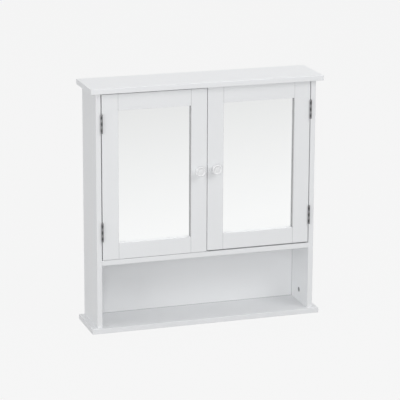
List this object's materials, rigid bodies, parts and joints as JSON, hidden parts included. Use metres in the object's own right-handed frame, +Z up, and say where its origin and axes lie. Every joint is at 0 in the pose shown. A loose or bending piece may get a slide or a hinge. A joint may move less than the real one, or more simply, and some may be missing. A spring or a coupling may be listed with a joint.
{
  "type": "mirror cabinet",
  "caption": "Wall-hung bathroom cabinet with framed mirror doors on butt hinges over an open compartment.",
  "frame": {"origin": "on the underside of the bottom board, at mid width and at the middle of the top board's depth", "axes": "+X to the right as seen from the front, +Y towards the wall, +Z up"},
  "size_m": [0.56, 0.1335, 0.58],
  "materials": {
    "white_paint": "MDF with a satin white spray lacquer",
    "painted_hardboard": "thin hardboard with a white painted face",
    "mirror_glass": "silvered float glass",
    "knob_lacquer": "turned wood with a satin white lacquer",
    "hinge_steel": "dark nickel-plated steel",
    "zinc_plated_steel": "bright zinc plating",
    "zinc": "die-cast zinc, dull",
    "beech": "bare beech",
    "white_plastic": "moulded white plastic",
    "ferrite": "dark ferrite magnet"
  },
  "bodies": {
    "cabinet": {"adjustable_shelf": "white_paint", "back_panel": "painted_hardboard", "bottom_board": "white_paint", "cam_bolts": "zinc_plated_steel", "cam_locks": "zinc", "carcass_dowels": "beech", "catch_pole_plates": "zinc_plated_steel", "catch_screws": "zinc_plated_steel", "hanging_rail": "white_paint", "left_catch_housing": "white_plastic", "left_catch_magnet": "ferrite", "left_hinge_frame_screws": "hinge_steel", "left_lower_hinge_frame_leaf": "hinge_steel", "left_lower_hinge_pin": "hinge_steel", "left_side_panel": "white_paint", "left_upper_hinge_frame_leaf": "hinge_steel", "left_upper_hinge_pin": "hinge_steel", "middle_shelf": "white_paint", "right_catch_housing": "white_plastic", "right_catch_magnet": "ferrite", "right_hinge_frame_screws": "hinge_steel", "right_lower_hinge_frame_leaf": "hinge_steel", "right_lower_hinge_pin": "hinge_steel", "right_side_panel": "white_paint", "right_upper_hinge_frame_leaf": "hinge_steel", "right_upper_hinge_pin": "hinge_steel", "shelf_pins": "white_plastic", "top_board": "white_paint"},
    "left_door": {"left_backing_panel": "painted_hardboard", "left_bottom_rail": "white_paint", "left_hinge_door_screws": "hinge_steel", "left_hinge_stile": "white_paint", "left_knob": "knob_lacquer", "left_knob_screw": "zinc_plated_steel", "left_lower_hinge_door_leaf": "hinge_steel", "left_meeting_stile": "white_paint", "left_mirror": "mirror_glass", "left_strike_plate": "zinc_plated_steel", "left_strike_screw": "zinc_plated_steel", "left_top_rail": "white_paint", "left_upper_hinge_door_leaf": "hinge_steel"},
    "right_door": {"right_backing_panel": "painted_hardboard", "right_bottom_rail": "white_paint", "right_hinge_door_screws": "hinge_steel", "right_hinge_stile": "white_paint", "right_knob": "knob_lacquer", "right_knob_screw": "zinc_plated_steel", "right_lower_hinge_door_leaf": "hinge_steel", "right_meeting_stile": "white_paint", "right_mirror": "mirror_glass", "right_strike_plate": "zinc_plated_steel", "right_strike_screw": "zinc_plated_steel", "right_top_rail": "white_paint", "right_upper_hinge_door_leaf": "hinge_steel"}
  },
  "joints": [
    {"name": "left_door_swing", "type": "hinge", "parent": "cabinet", "child": "left_door", "pos_m": [-0.2529, -0.05371, 0.3695], "axis": [0, 0, -1], "range_deg": [0, 180]},
    {"name": "right_door_swing", "type": "hinge", "parent": "cabinet", "child": "right_door", "pos_m": [0.2529, -0.05371, 0.3715], "axis": [0, 0, 1], "range_deg": [0, 180]}
  ]
}
